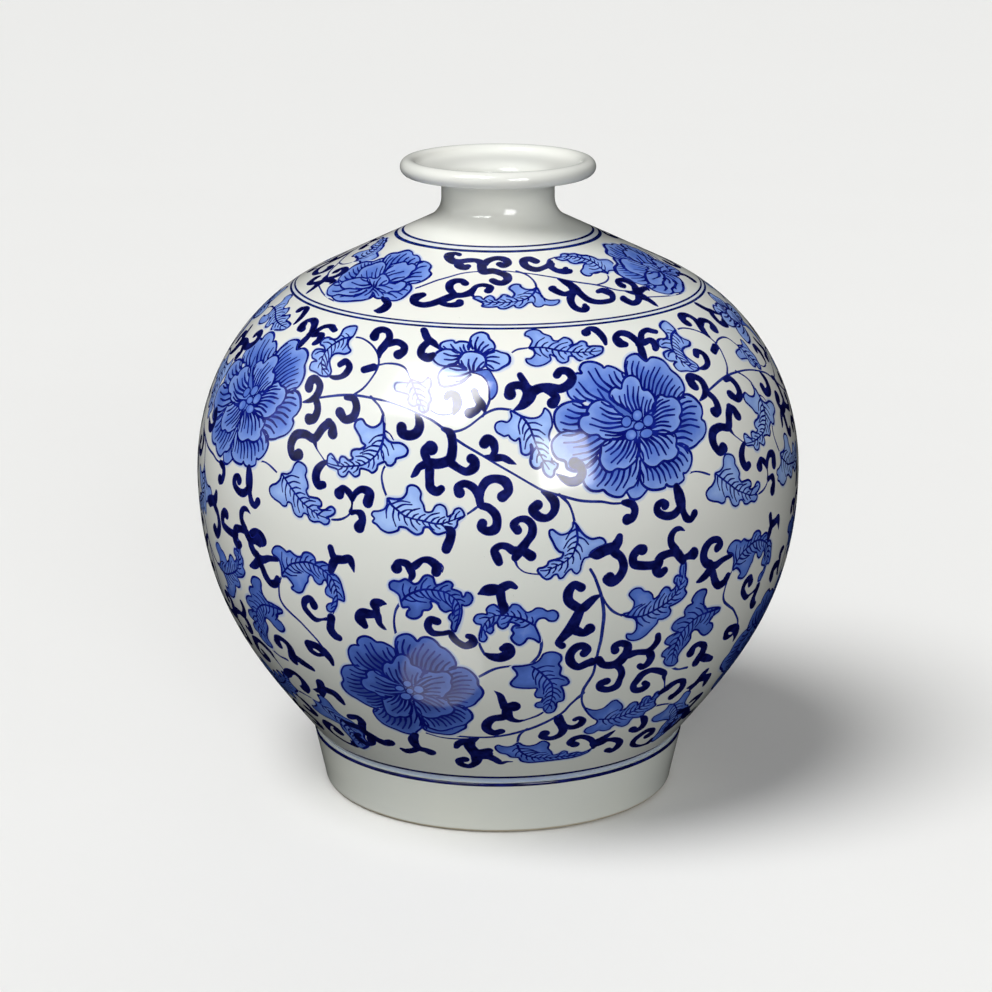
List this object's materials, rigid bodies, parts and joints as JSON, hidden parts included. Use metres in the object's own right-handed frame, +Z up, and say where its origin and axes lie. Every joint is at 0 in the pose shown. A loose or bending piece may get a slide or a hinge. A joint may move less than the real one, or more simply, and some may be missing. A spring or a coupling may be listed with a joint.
{
  "type": "globe vase",
  "caption": "Globe-bodied porcelain vase with a narrow neck, rolled everted mouth rim and tapered foot ring, painted with a blue flower scroll under clear glaze",
  "frame": {"origin": "centre of the circle that the foot ring stands on, at the bottom of the part", "axes": "+Z is up along the axis of turning; +X and +Y are level, and the picture looks along +Y"},
  "size_m": [0.21, 0.21, 0.2221],
  "materials": {
    "painted_glaze": "white porcelain with cobalt painting under a clear gloss glaze",
    "white_glaze": "plain white porcelain under a clear gloss glaze",
    "foot_glaze": "white glaze with a bare biscuit standing edge"
  },
  "bodies": {
    "root": {"foot_ring": "foot_glaze", "lower_body": "painted_glaze", "upper_body": "painted_glaze", "neck": "white_glaze", "mouth_rim": "white_glaze"}
  },
  "joints": []
}
